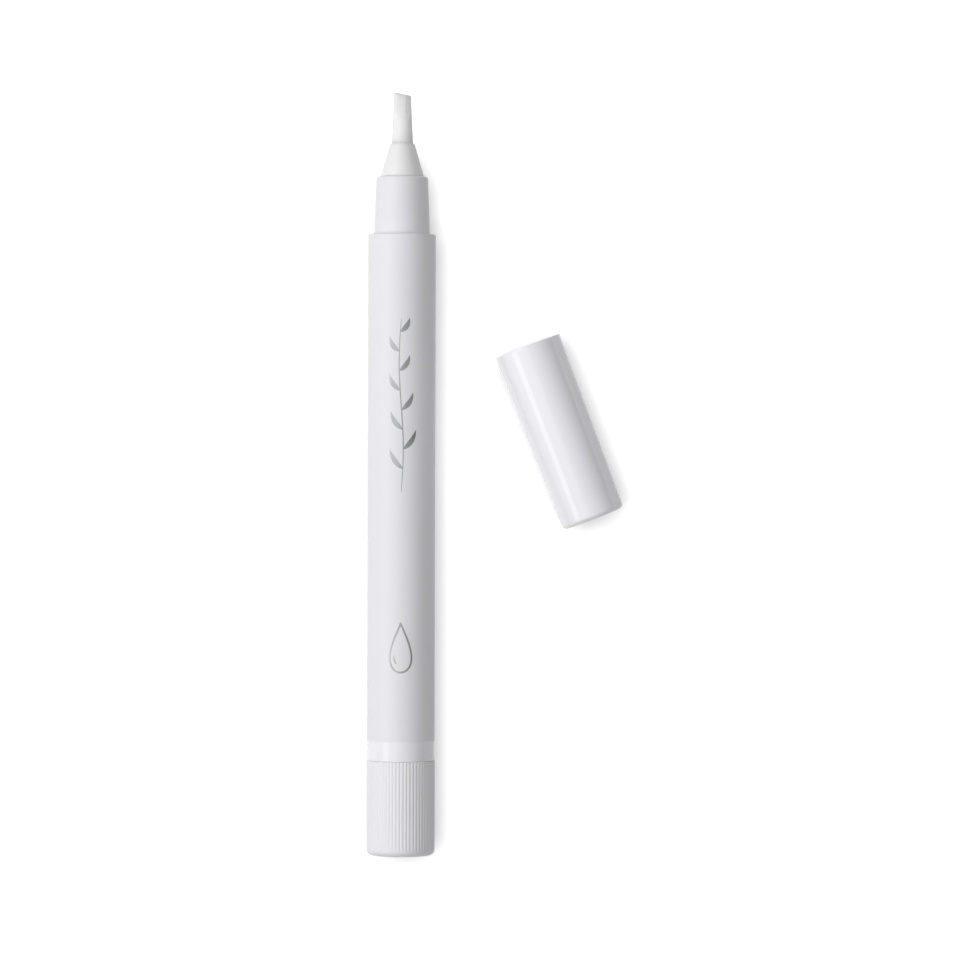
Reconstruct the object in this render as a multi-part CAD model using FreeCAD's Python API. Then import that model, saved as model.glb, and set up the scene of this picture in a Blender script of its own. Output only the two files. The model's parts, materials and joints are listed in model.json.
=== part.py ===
# A twist-up nail oil pen, with its cap taken off and laid beside it.
# All lengths are millimetres. The pen lies along +Y with its nib forward, +Z is up,
# and the origin is the centre of the twist knob's flat end.
import FreeCAD
import Part
import math
import os
from FreeCAD import Vector

# Twist knob at the rear end
knob_length = 15.45
knob_diameter = 11.1
knob_edge_radius = 1.0
knob_floor = 1.2
rib_count = 60
rib_depth = 0.08
hub_height = 5.0
hub_wall = 0.85
key_count = 2
key_width = 0.95
key_height = 0.5
key_length = 3.0

# Smooth ring between the knob and the barrel, the flange of the screw seat
knob_gap = 0.1
ring_length = 3.2
ring_diameter = 11.0

# Barrel, which is also the oil chamber
barrel_length = 82.45
barrel_diameter = 11.0
barrel_wall = 1.2
barrel_edge_radius = 0.22

# Front section, the tapered collar that the cap slides over
collar_length = 9.45
collar_base_diameter = 9.05
collar_front_diameter = 8.4
collar_edge_radius = 0.45
plug_length = 9.0
seal_section = 0.9
seal_setback = 4.2
seal_groove_room = 0.25

# Nose cone, pressed into the front section
cone_length = 5.35
cone_base_diameter = 7.1
cone_front_diameter = 4.0
cone_plug_diameter = 5.8
cone_plug_length = 5.9

# Fibre nib with a slanted chisel tip
nib_reach = 8.4
nib_root_diameter = 3.46
nib_tip_diameter = 2.7
nib_tail_length = 21.0
chisel_length = 4.6
chisel_thickness = 0.9
chisel_slant_deg = 10.0

# Screw seat: neck in the knob, plug in the barrel, nut at its front end
neck_lift = 0.65
neck_wall = 0.55
snap_height = 0.28
snap_width = 0.9
snap_setback = 3.4
seat_plug_length = 9.0
seat_tube_wall = 1.05
nut_length = 5.0

# Ratchet inside the neck and the click ring that springs over it
click_count = 12
click_tooth_depth = 0.4
click_tooth_length = 3.2
click_ring_length = 2.6
click_ring_wall = 0.5
pawl_count = 2
pawl_thickness = 0.32
pawl_sweep_deg = 66.0
pawl_root_deg = 14.0
pawl_tip_start = 0.03
pawl_tip_end = 0.4

# Driver tube, screw rod and piston
driver_diameter = 5.0
driver_wall = 0.65
driver_grip_length = 6.0
rod_diameter = 3.5
rod_flats = 2.6
rod_tail_gap = 0.8
rod_engagement = 3.0
rod_neck_diameter = 2.0
rod_head_diameter = 2.9
rod_head_length = 1.7
piston_length = 6.0
piston_lip_length = 1.4
piston_waist_depth = 0.45
piston_web = 0.7
chamber_reserve = 3.3

# Cap and the soft liner that keeps the nib from drying
cap_length = 30.2
cap_mouth_diameter = 11.1
cap_end_diameter = 10.6
cap_end_wall = 1.2
cap_end_radius = 0.8
cap_seat_extra = 0.3
liner_bore_diameter = 8.3
liner_wall = 0.45
liner_floor = 0.8

# Where the cap lies: its mouth's centre and the turn of its axis from the pen's
cap_mouth_x = 20.51
cap_mouth_y = 83.13
cap_turn_deg = 21.1

# Roundings are cut into flats of about this length
rounding_flat = 0.4

# Clearances, all measured on the radius or across one gap
press_gap = 0.03
running_gap = 0.06
piston_gap = 0.05
cap_gap = 0.06
end_gap = 0.1
rod_end_gap = 0.4
seat_gap = 0.5
pawl_gap = 0.06

# Stations along the pen's axis, worked out from the lengths above
ring_rear = knob_length + knob_gap
barrel_rear = ring_rear + ring_length
barrel_front = barrel_rear + barrel_length
collar_front = barrel_front + collar_length
cone_front = collar_front + cone_length
nib_tip = cone_front + nib_reach
plug_rear = barrel_front - plug_length
hub_top = knob_floor + hub_height
neck_rear = hub_top + neck_lift
driver_rear = knob_floor + end_gap
rod_rear = knob_floor + rod_tail_gap

# The piston's stroke is what the barrel leaves: the screw seat grows with the stroke,
# so the free length is shared between the two
rest_length = nut_length + rod_end_gap + seat_gap + piston_length
stroke = (plug_rear - chamber_reserve - rod_rear - rod_engagement - rest_length) / 2
driver_front = rod_rear + stroke + rod_engagement
nut_rear = driver_front + rod_end_gap
nut_front = nut_rear + nut_length
piston_rear = nut_front + seat_gap
piston_front = piston_rear + piston_length

# Radii that several pieces share
bore_radius = barrel_diameter / 2 - barrel_wall
driver_radius = driver_diameter / 2
rod_radius = rod_diameter / 2
hub_bore_radius = driver_radius + press_gap
hub_radius = hub_bore_radius + hub_wall
key_radius = driver_radius + key_height
rib_valley_radius = knob_diameter / 2 - rib_depth
click_hub_radius = driver_radius + press_gap + click_ring_wall
pawl_inner_radius = click_hub_radius + click_tooth_depth / 4
pawl_outer_radius = pawl_inner_radius + pawl_thickness
click_crest_radius = pawl_outer_radius + click_tooth_depth / 2
click_valley_radius = click_crest_radius + click_tooth_depth
neck_radius = click_valley_radius + neck_wall
knob_bore_radius = neck_radius + running_gap
cone_bore_radius = nib_root_diameter / 2 + press_gap

AXIS = Vector(0, 1, 0)
ORIGIN = Vector(0, 0, 0)


def rounded_corner(before, corner, after, rounding):
    """Points of a rounded corner, evenly spaced on an arc that touches both of its sides."""
    back = (before - corner).normalize()
    ahead = (after - corner).normalize()
    half_angle = back.getAngle(ahead) / 2
    reach = rounding / math.tan(half_angle)
    centre = corner + (back + ahead).normalize() * (rounding / math.sin(half_angle))
    first_spoke = corner + back * reach - centre
    last_spoke = corner + ahead * reach - centre
    sweep = math.pi - 2 * half_angle
    flats = max(1, round(rounding / rounding_flat))
    points = []
    for step in range(flats + 1):
        first_share = math.sin(sweep * (1 - step / flats)) / math.sin(sweep)
        last_share = math.sin(sweep * step / flats) / math.sin(sweep)
        points.append(centre + first_spoke * first_share + last_spoke * last_share)
    return points


def turned(corners):
    """Solid of revolution about the pen's axis from (radius, along[, rounding]) corners."""
    places = [Vector(corner[0], corner[1], 0) for corner in corners]
    points = []
    for index, corner in enumerate(corners):
        if len(corner) == 2:
            points.append(places[index])
        else:
            after = places[(index + 1) % len(places)]
            points += rounded_corner(places[index - 1], places[index], after, corner[2])
    return Part.Face(Part.makePolygon(points + points[:1])).revolve(ORIGIN, AXIS, 360)


def around(radius, degrees, along):
    """Point at a radius and a turn about the axis, counted from +Z towards +X."""
    turn = math.radians(degrees)
    return Vector(radius * math.sin(turn), along, radius * math.cos(turn))


def polygon_solid(points, sweep):
    """Prism over a closed polygon, as long as the sweep."""
    return Part.Face(Part.makePolygon(points + points[:1])).extrude(sweep)


def ring_sector(inner, outer, start_deg, end_deg, along, length):
    """Part of a ring between two radii and two turns."""
    middle_deg = (start_deg + end_deg) / 2
    inner_arc = Part.Arc(around(inner, start_deg, along), around(inner, middle_deg, along),
                         around(inner, end_deg, along)).toShape()
    outer_arc = Part.Arc(around(outer, start_deg, along), around(outer, middle_deg, along),
                         around(outer, end_deg, along)).toShape()
    first_side = Part.LineSegment(around(inner, start_deg, along), around(outer, start_deg, along)).toShape()
    last_side = Part.LineSegment(around(inner, end_deg, along), around(outer, end_deg, along)).toShape()
    wire = Part.Wire(Part.__sortEdges__([inner_arc, last_side, outer_arc, first_side]))
    return Part.Face(wire).extrude(AXIS * length)


def key_bars(inner, outer, width, along, length):
    """Straight keys or keyways, evenly spaced round the axis."""
    bars = []
    for index in range(key_count):
        bar = Part.makeBox(width, length, outer - inner, Vector(-width / 2, along, inner))
        bar.rotate(ORIGIN, AXIS, 360 * index / key_count)
        bars.append(bar)
    return bars


def flat_sided(radius, across, along, length):
    """Round bar with two opposite flats, the section of the screw rod."""
    bar = Part.makeCylinder(radius, length, Vector(0, along, 0), AXIS)
    flats = Part.makeBox(2 * radius, length, across, Vector(-radius, along, -across / 2))
    return bar.common(flats)


def twist_knob():
    """Closed cup with fine ribs outside and a keyed hub inside."""
    ribs = []
    step = 360 / rib_count
    for index in range(rib_count):
        ribs.append(around(rib_valley_radius, index * step, knob_edge_radius))
        ribs.append(around(knob_diameter / 2, (index + 0.5) * step, knob_edge_radius))
    ribbed = polygon_solid(ribs, AXIS * (knob_length - knob_edge_radius))
    rounded_end = turned([
        (0, 0),
        (rib_valley_radius, 0, knob_edge_radius),
        (rib_valley_radius, 2 * knob_edge_radius),
        (0, 2 * knob_edge_radius),
    ])
    groove_radius = knob_bore_radius + snap_height
    groove_rear = knob_length - snap_setback - snap_width - end_gap
    groove_front = knob_length - snap_setback + end_gap
    cavity = turned([
        (0, knob_floor),
        (hub_bore_radius, knob_floor),
        (hub_bore_radius, hub_top),
        (hub_radius, hub_top),
        (hub_radius, knob_floor),
        (knob_bore_radius, knob_floor),
        (knob_bore_radius, groove_rear),
        (groove_radius, groove_rear),
        (groove_radius, groove_front),
        (knob_bore_radius, groove_front),
        (knob_bore_radius, knob_length),
        (0, knob_length),
    ])
    keyway_width = key_width + 2 * press_gap
    keyway_radius = key_radius + press_gap
    keyways = key_bars(driver_radius - press_gap, keyway_radius, keyway_width, knob_floor, hub_height)
    return ribbed.fuse(rounded_end).cut(cavity).cut(Part.makeCompound(keyways)).removeSplitter()


def ratchet_point(tooth, share, gap):
    """Point on a ratchet tooth's ramp, from its valley (share 0) to its crest (share 1)."""
    pitch = 360 / click_count
    valley = around(click_valley_radius, tooth * pitch, 0)
    crest = around(click_crest_radius, (tooth + 1) * pitch, 0)
    point = valley + (crest - valley) * share
    return point * (1 - gap / point.Length)


def screw_seat():
    """Fixed bush: ratchet neck, visible ring, plug in the barrel and nut at the front."""
    snap_rear = knob_length - snap_setback - snap_width
    snap_front = knob_length - snap_setback
    snap_radius = neck_radius + snap_height - running_gap / 2
    seat_plug_radius = bore_radius - press_gap
    bearing_radius = driver_radius + running_gap
    seat_tube_radius = bearing_radius + seat_tube_wall
    plug_front = barrel_rear + seat_plug_length
    body = turned([
        (bearing_radius, neck_rear),
        (neck_radius, neck_rear),
        (neck_radius, snap_rear),
        (snap_radius, snap_front - snap_width / 2),
        (snap_radius, snap_front),
        (neck_radius, snap_front),
        (neck_radius, ring_rear),
        (ring_diameter / 2, ring_rear),
        (ring_diameter / 2, barrel_rear),
        (seat_plug_radius, barrel_rear),
        (seat_plug_radius, plug_front),
        (seat_tube_radius, plug_front),
        (seat_tube_radius, nut_front),
        (rod_radius + running_gap, nut_front),
        (rod_radius + running_gap, nut_rear),
        (bearing_radius, nut_rear),
    ])
    teeth = []
    for tooth in range(click_count):
        teeth.append(ratchet_point(tooth, 0, 0))
        teeth.append(ratchet_point(tooth, 1, 0))
    toothed_core = polygon_solid(teeth, AXIS * click_tooth_length)
    toothed_core.translate(AXIS * neck_rear)
    return body.cut(toothed_core)


def click_ring():
    """Springy ring with trailing pawls, turned by the knob's hub."""
    rear = hub_top + end_gap
    ring = turned([
        (hub_bore_radius, rear),
        (pawl_outer_radius, rear),
        (pawl_outer_radius, rear + click_ring_length),
        (hub_bore_radius, rear + click_ring_length),
    ])
    lug_rear = driver_rear + key_length + end_gap
    lug_inner_radius = hub_bore_radius + press_gap
    lug_length = rear + end_gap - lug_rear
    additions = key_bars(lug_inner_radius, click_hub_radius, key_width, lug_rear, lug_length)
    for index in range(pawl_count):
        tooth = index * click_count // pawl_count
        tip_start = ratchet_point(tooth, pawl_tip_start, pawl_gap)
        tip_end = ratchet_point(tooth, pawl_tip_end, pawl_gap)
        tip_deg = math.degrees(math.atan2(tip_start.x, tip_start.z))
        root_deg = tip_deg + pawl_sweep_deg
        next_tip_deg = tip_deg + 360 / pawl_count
        slot = ring_sector(click_hub_radius, pawl_inner_radius, tip_deg, root_deg,
                           rear, click_ring_length)
        opening = ring_sector(click_hub_radius, click_valley_radius, root_deg + pawl_root_deg, next_tip_deg,
                              rear, click_ring_length)
        ring = ring.cut(slot).cut(opening)
        tip_base_radius = pawl_inner_radius + pawl_thickness / 2
        tip = [
            tip_start * (tip_base_radius / tip_start.Length),
            tip_start,
            tip_end,
            tip_end * (tip_base_radius / tip_end.Length),
        ]
        tip_prism = polygon_solid(tip, AXIS * click_ring_length)
        tip_prism.translate(AXIS * rear)
        additions.append(tip_prism)
    return ring.fuse(additions).removeSplitter()


def driver_tube():
    """Tube keyed into the knob's hub, whose front end grips the rod's flats."""
    grip_rear = driver_front - driver_grip_length
    tube_bore_radius = driver_radius - driver_wall
    tube = turned([
        (tube_bore_radius, driver_rear),
        (driver_radius, driver_rear),
        (driver_radius, driver_front),
        (0, driver_front),
        (0, grip_rear),
        (tube_bore_radius, grip_rear),
    ])
    keys = key_bars(tube_bore_radius + press_gap, key_radius, key_width, driver_rear, key_length)
    grip_hole = flat_sided(rod_radius + running_gap, rod_flats + 2 * running_gap,
                           grip_rear, driver_grip_length)
    return tube.fuse(keys).cut(grip_hole).removeSplitter()


def piston_rod():
    """Flat-sided screw rod with a snap head that turns in the piston."""
    shoulder = piston_rear - piston_gap
    neck_front = piston_rear + piston_web + piston_gap
    bar = flat_sided(rod_radius, rod_flats, rod_rear, shoulder - rod_rear)
    head = turned([
        (0, shoulder - end_gap),
        (rod_neck_diameter / 2, shoulder - end_gap),
        (rod_neck_diameter / 2, neck_front),
        (rod_head_diameter / 2, neck_front),
        (rod_head_diameter / 2, neck_front + rod_head_length),
        (0, neck_front + rod_head_length),
    ])
    return bar.fuse(head).removeSplitter()


def piston():
    """Soft plunger with a lip at each end and a snap socket for the rod's head."""
    radius = bore_radius - piston_gap
    waist_radius = radius - piston_waist_depth
    rear_lip_front = piston_rear + piston_lip_length
    front_lip_rear = piston_front - piston_lip_length
    pocket_rear = piston_rear + piston_web
    pocket_front = pocket_rear + rod_head_length + 2 * end_gap
    neck_hole_radius = rod_neck_diameter / 2 + running_gap
    pocket_radius = rod_head_diameter / 2 + end_gap
    return turned([
        (0, piston_front),
        (0, pocket_front),
        (pocket_radius, pocket_front),
        (pocket_radius, pocket_rear),
        (neck_hole_radius, pocket_rear),
        (neck_hole_radius, piston_rear),
        (radius, piston_rear),
        (radius, rear_lip_front),
        (waist_radius, rear_lip_front),
        (waist_radius, front_lip_rear),
        (radius, front_lip_rear),
        (radius, piston_front),
    ])


def barrel():
    """Plain tube, open at both ends."""
    return turned([
        (bore_radius, barrel_rear),
        (barrel_diameter / 2, barrel_rear),
        (barrel_diameter / 2, barrel_front, barrel_edge_radius),
        (bore_radius, barrel_front),
    ])


def front_section():
    """Tapered collar with a sealed plug in the barrel and a socket for the nose cone."""
    plug_radius = bore_radius - press_gap
    groove_radius = plug_radius - seal_section
    groove_front = barrel_front - seal_setback
    groove_rear = groove_front - seal_section - seal_groove_room
    socket_radius = cone_plug_diameter / 2 + press_gap
    socket_floor = collar_front - cone_plug_length - end_gap
    return turned([
        (cone_bore_radius, plug_rear),
        (plug_radius, plug_rear),
        (plug_radius, groove_rear),
        (groove_radius, groove_rear),
        (groove_radius, groove_front),
        (plug_radius, groove_front),
        (plug_radius, barrel_front),
        (collar_base_diameter / 2, barrel_front),
        (collar_front_diameter / 2, collar_front, collar_edge_radius),
        (socket_radius, collar_front),
        (socket_radius, socket_floor),
        (cone_bore_radius, socket_floor),
    ])


def section_seal():
    """Square-cut sealing ring in the groove of the front section's plug."""
    front = barrel_front - seal_setback - seal_groove_room / 2
    rear = front - seal_section
    inner = bore_radius - seal_section
    outer = bore_radius - press_gap / 2
    return turned([
        (inner, rear),
        (outer, rear),
        (outer, front),
        (inner, front),
    ])


def nose_cone():
    """Cone that holds the nib, with a plug in the front section."""
    plug_end = collar_front - cone_plug_length
    return turned([
        (cone_bore_radius, plug_end),
        (cone_plug_diameter / 2, plug_end),
        (cone_plug_diameter / 2, collar_front),
        (cone_base_diameter / 2, collar_front),
        (cone_front_diameter / 2, cone_front),
        (cone_bore_radius, cone_front),
    ])


def nib():
    """Tapered fibre rod, cut to a wedge by two flats and slanted at its end."""
    root_radius = nib_root_diameter / 2
    tip_radius = nib_tip_diameter / 2
    tail = cone_front - nib_tail_length
    rod = turned([
        (0, tail),
        (root_radius, tail),
        (root_radius, cone_front),
        (tip_radius, nib_tip),
        (0, nib_tip),
    ])
    flats_start = nib_tip - chisel_length
    start_radius = tip_radius + (root_radius - tip_radius) * chisel_length / nib_reach
    for side in (1, -1):
        flat = polygon_solid([
            Vector(-root_radius, flats_start, side * start_radius),
            Vector(-root_radius, nib_tip, side * chisel_thickness / 2),
            Vector(-root_radius, nib_tip, side * start_radius),
        ], Vector(2 * root_radius, 0, 0))
        rod = rod.cut(flat)
    slant = (tip_radius + root_radius) * math.tan(math.radians(chisel_slant_deg))
    slanted_end = polygon_solid([
        Vector(-tip_radius, nib_tip, -root_radius),
        Vector(root_radius, nib_tip, -root_radius),
        Vector(root_radius, nib_tip - slant, -root_radius),
    ], Vector(0, 0, 2 * root_radius))
    return rod.cut(slanted_end)


def laid_cap(shape):
    """Moves a piece from the cap's own axis (mouth at 0) to where the cap lies on its side."""
    mouth_radius = cap_mouth_diameter / 2
    taper = math.atan((mouth_radius - cap_end_diameter / 2) / cap_length)
    floor = -knob_diameter / 2
    shape.rotate(ORIGIN, Vector(1, 0, 0), -math.degrees(taper))
    shape.rotate(ORIGIN, Vector(0, 0, 1), 180 + cap_turn_deg)
    shape.translate(Vector(cap_mouth_x, cap_mouth_y, floor + mouth_radius * math.cos(taper)))
    return shape


def cap_shell():
    """Tapered closed cap, with a mouth that fits the collar and a narrower bore for the liner."""
    mouth_bore_radius = collar_base_diameter / 2 + cap_gap
    seat_depth = collar_length + cap_seat_extra
    bore_end = cap_length - cap_end_wall
    return laid_cap(turned([
        (mouth_bore_radius, 0),
        (cap_mouth_diameter / 2, 0),
        (cap_end_diameter / 2, cap_length, cap_end_radius),
        (0, cap_length),
        (0, bore_end),
        (liner_bore_diameter / 2, bore_end),
        (liner_bore_diameter / 2, seat_depth),
        (mouth_bore_radius, seat_depth),
    ]))


def cap_liner():
    """Thin soft cup that closes round the nose cone when the cap is on."""
    radius = liner_bore_diameter / 2 - press_gap
    rim = collar_length + cap_seat_extra
    floor = cap_length - cap_end_wall
    return laid_cap(turned([
        (radius - liner_wall, rim),
        (radius, rim),
        (radius, floor),
        (0, floor),
        (0, floor - liner_floor),
        (radius - liner_wall, floor - liner_floor),
    ]))


NODES = [
    twist_knob,
    screw_seat,
    click_ring,
    driver_tube,
    piston_rod,
    piston,
    barrel,
    front_section,
    section_seal,
    nose_cone,
    nib,
    cap_shell,
    cap_liner,
]

os.makedirs("parts", exist_ok=True)
for make in NODES:
    shape = make()
    solid = shape if shape.ShapeType == "Solid" else shape.Solids[0]
    solid.exportStep(f"parts/{make.__name__}.step")
    print(make.__name__, len(shape.Solids), "solid", shape.isValid(), round(shape.Volume, 2), "mm3")
print("stroke", round(stroke, 3), "mm, overall length", round(nib_tip, 3), "mm")
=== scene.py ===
# %% [markdown]
# # A nail oil pen, dressed for the studio
#
# The pen and its cap are moulded white plastic, and nearly every piece is round. The CAD solids already
# give every place and size. This script remakes their skins finely, gives each one its finish and lights
# them as in the photograph. It starts from an empty scene with the packed solids in it.

# %% Load the solids
import json
import math

import bpy
import numpy as np
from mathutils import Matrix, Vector

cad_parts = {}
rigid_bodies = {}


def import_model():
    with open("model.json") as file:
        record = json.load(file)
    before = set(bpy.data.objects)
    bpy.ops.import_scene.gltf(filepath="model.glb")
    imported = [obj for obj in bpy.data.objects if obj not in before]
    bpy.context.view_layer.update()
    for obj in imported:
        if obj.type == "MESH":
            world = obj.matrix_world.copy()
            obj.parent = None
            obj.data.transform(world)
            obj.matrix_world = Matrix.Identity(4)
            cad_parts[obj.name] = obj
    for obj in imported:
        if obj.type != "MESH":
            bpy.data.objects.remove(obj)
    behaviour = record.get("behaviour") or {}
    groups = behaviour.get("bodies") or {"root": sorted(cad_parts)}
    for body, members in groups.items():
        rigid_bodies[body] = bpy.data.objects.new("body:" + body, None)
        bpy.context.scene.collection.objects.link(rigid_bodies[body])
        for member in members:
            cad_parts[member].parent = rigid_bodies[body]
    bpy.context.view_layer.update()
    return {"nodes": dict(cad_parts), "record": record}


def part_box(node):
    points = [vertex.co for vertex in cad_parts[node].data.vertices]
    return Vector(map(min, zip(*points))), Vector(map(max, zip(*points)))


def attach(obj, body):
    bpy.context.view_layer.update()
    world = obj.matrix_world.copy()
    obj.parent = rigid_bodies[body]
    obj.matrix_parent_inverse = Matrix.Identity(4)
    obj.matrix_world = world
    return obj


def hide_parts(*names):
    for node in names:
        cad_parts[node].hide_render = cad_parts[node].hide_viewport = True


MM = 0.001


for leftover in list(bpy.data.objects):
    bpy.data.objects.remove(leftover)
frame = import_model()

# %% [markdown]
# ## Where the pieces are
#
# The pen's axis is the Y axis, with the nib in front. A round piece on that axis is known by three
# numbers: its rear, its front and its radius. All three can be read from its solid, so hardly any place
# is written here.


# %% Read a round solid
def rear(node):
    """Rear end of a solid on the pen's axis, in millimetres."""
    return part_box(node)[0].y / MM


def front(node):
    """Front end of a solid on the pen's axis, in millimetres."""
    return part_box(node)[1].y / MM


def radius(node):
    """Largest radius of a round solid on the pen's axis, in millimetres."""
    low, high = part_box(node)
    return (high.x - low.x) / 2 / MM


barrel_sizes = rear("barrel"), front("barrel"), radius("barrel")
print("barrel's rear, front and radius in mm:", [round(size, 2) for size in barrel_sizes])

# %% [markdown]
# ## Two axes
#
# The cap lies beside the pen, so there is a second axis. It starts at the mouth that the record gives and
# points into the cap. An axis is kept as a starting point and three directions: along it, up from it and
# to its side. The cap could also be made on the pen's axis and turned into place, but a piece that is
# drawn on its own axis keeps its object at the origin, as the solids do.

# %% Set up the axes
mouth = next(mount for mount in frame["record"]["mounts"] if mount["name"] == "cap_mouth")
into_cap = -np.array(mouth["axis"])
cap_side = np.cross(into_cap, (0, 0, 1))
cap_side /= np.linalg.norm(cap_side)
cap_axis = {
    "start": np.array(mouth["pos_m"]) / MM,
    "along": into_cap,
    "side": cap_side,
    "up": np.cross(cap_side, into_cap),
}
pen_axis = {
    "start": np.zeros(3),
    "along": np.array((0.0, 1.0, 0.0)),
    "side": np.array((1.0, 0.0, 0.0)),
    "up": np.array((0.0, 0.0, 1.0)),
}
print("cap's mouth at", [round(part, 2) for part in cap_axis["start"]], "mm")

# %% [markdown]
# ## Outlines with rounded corners
#
# A moulder cuts the steel for such a pen on a lathe, so a piece is best described as a lathe hand would:
# by an outline of radius and place along the axis, with a rounding at each corner. A Bevel modifier could
# round the edges later, but then every edge would get the same rounding. Here each corner has its own.

# %% Round an outline
tiny = 1e-6


def rounded_outline(corners, closed, steps=6):
    """Outline through corners of (radius, along, rounding), as rows of (radius, along).

    Each corner becomes an arc that touches both of its sides. The arc starts before the corner, by the
    rounding times the tangent of half the turn. Its points are the two end spokes, weighted by the sines
    of the turn still to go and of the turn already made. A rounding of 0 keeps the corner, and an open
    outline keeps its two ends.
    """
    corners = np.array(corners, float)
    places = corners[:, :2]
    roundings = corners[:, 2:]
    back = np.roll(places, 1, axis=0) - places
    ahead = np.roll(places, -1, axis=0) - places
    back /= np.linalg.norm(back, axis=1, keepdims=True)
    ahead /= np.linalg.norm(ahead, axis=1, keepdims=True)
    cosine = np.clip((back * ahead).sum(axis=1, keepdims=True), tiny - 1, 1 - tiny)
    turn = math.pi - np.arccos(cosine)
    inward = back + ahead
    inward /= np.linalg.norm(inward, axis=1, keepdims=True) + tiny * tiny
    centre = places + inward * roundings / np.cos(turn / 2)
    first_spoke = places + back * roundings * np.tan(turn / 2) - centre
    last_spoke = places + ahead * roundings * np.tan(turn / 2) - centre
    share = np.linspace(0, 1, steps + 1).reshape(1, -1, 1)
    turn = turn[:, None]
    from_first = first_spoke[:, None] * np.sin(turn * (1 - share))
    from_last = last_spoke[:, None] * np.sin(turn * share)
    points = (centre[:, None] + (from_first + from_last) / np.sin(turn)).reshape(-1, 2)
    if not closed:
        points[: steps + 1] = places[0]
        points[-steps - 1 :] = places[-1]
    moved = np.linalg.norm(points - np.roll(points, 1, axis=0), axis=1) > tiny
    moved[0] = moved[0] or not closed
    return points[moved]


square_ring = rounded_outline([(1, 0, 0.2), (2, 0, 0.2), (2, 1, 0.2), (1, 1, 0.2)], True)
print("points on one rounded square:", len(square_ring))

# %% [markdown]
# ## Turning an outline
#
# Blender's Screw modifier could spin a drawn outline, but the ribs of the knob and the teeth of the
# ratchet also change with the turn. So an outline and a row of angles make a grid, and any point of that
# grid may still be moved before it becomes a mesh.


# %% Turn an outline into a grid
def turned_grid(radii, alongs, turns, axis):
    """Points about an axis: radius times the cosine of the turn up, times its sine to the side, and along."""
    lift = (radii * np.cos(turns))[..., None] * axis["up"]
    sway = (radii * np.sin(turns))[..., None] * axis["side"]
    return axis["start"] + lift + sway + (alongs + 0 * turns)[..., None] * axis["along"]


def turns_of(columns):
    """A full turn in equal steps, as one row of angles."""
    return np.linspace(0, 2 * math.pi, columns, endpoint=False)[None]


trial_grid = turned_grid(square_ring[:, :1], square_ring[:, 1:], turns_of(12), pen_axis)
print("a ring's grid has", trial_grid.shape[0], "rows and", trial_grid.shape[1], "columns")

# %% [markdown]
# ## From a grid to a mesh
#
# A grid becomes a mesh by joining each point to its neighbours. Around the axis the last column meets the
# first again. Along the outline there are two cases: a ring such as the barrel has an outline that closes
# on itself, and a piece that reaches the axis, such as the cap, ends in one point at each end, a pole
# with a fan of triangles. The sign of the enclosed volume tells whether the faces look outwards, so one
# rule sets the winding of every piece.


# %% Join the points of a grid
def joined(count, columns, closed):
    """Four-sided faces between neighbouring rows and columns. A closed outline's last row meets its first."""
    index = np.arange(count * columns).reshape(count, columns)
    lower = index if closed else index[:-1]
    upper = np.roll(index, -1, axis=0) if closed else index[1:]
    corners = [lower, np.roll(lower, -1, axis=1), np.roll(upper, -1, axis=1), upper]
    return np.stack(corners, axis=-1).reshape(-1, 4)


def fanned(count, columns):
    """Triangles from the first and last rows to two poles, which are numbered after the grid's points."""
    first_row = np.arange(columns)
    last_row = first_row + (count - 1) * columns
    pole = np.full(columns, count * columns)
    first_fan = np.stack([pole, np.roll(first_row, -1), first_row], axis=-1)
    last_fan = np.stack([pole + 1, last_row, np.roll(last_row, -1)], axis=-1)
    return np.concatenate([first_fan, last_fan])


def enclosed(points, triangles):
    """Volume in a surface: a sixth of the sum of first corners times the cross product of the other two."""
    sides = points[triangles]
    return (sides[:, 0] * np.cross(sides[:, 1], sides[:, 2])).sum() / 6


print("faces on a small ring:", len(joined(*trial_grid.shape[:2], True)))

# %% Make a mesh of a grid
sharp_edge = math.radians(32)


def skin_mesh(name, grid, closed):
    """Mesh over a grid in millimetres. Unless it is closed, its first and last rows are single points."""
    rows = grid if closed else grid[1:-1]
    count, columns = rows.shape[:2]
    points = rows.reshape(-1, 3)
    quads = joined(count, columns, closed)
    fans = np.zeros((0, 3), int)
    if not closed:
        points = np.concatenate([points, grid[0, :1], grid[-1, :1]])
        fans = fanned(count, columns)
    triangles = np.concatenate([quads[:, :3], quads[:, [0, 2, 3]], fans])
    volume = enclosed(points, triangles)
    if volume < 0:
        quads = quads[:, ::-1]
        fans = fans[:, ::-1]
    mesh = bpy.data.meshes.new(name)
    mesh.from_pydata((points * MM).tolist(), [], quads.tolist() + fans.tolist())
    mesh.shade_smooth()
    mesh.set_sharp_from_angle(angle=sharp_edge)
    print(name, len(triangles), "triangles", round(abs(volume), 1), "cubic mm")
    return mesh


print("edges that turn by more than", round(math.degrees(sharp_edge)), "degrees stay sharp")

# %% [markdown]
# ## From a mesh to a piece
#
# A piece is an object with a mesh and a finish. It rides on one body of the pen, so that it moves with
# the joints, and it stands in for the solids that it covers. Most pieces are plainly round, so a second
# helper takes just the corners of their outline.


# %% Add a piece
def add_piece(name, grid, closed, body, finish, slot, *nodes):
    """Puts a grid into the scene as one piece that rides on a body and stands for its solids."""
    piece = bpy.data.objects.new(name, skin_mesh(name, grid, closed))
    bpy.context.scene.collection.objects.link(piece)
    piece.data.materials.append(finish)
    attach(piece, body)
    if nodes:
        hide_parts(*nodes)


def add_turned(name, corners, closed, axis, body, finish, slot, node, columns=192):
    """Adds a plain round piece from its outline's corners."""
    outline = rounded_outline(corners, closed)
    grid = turned_grid(outline[:, :1], outline[:, 1:], turns_of(columns), axis)
    add_piece(name, grid, closed, body, finish, slot, node)


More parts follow.
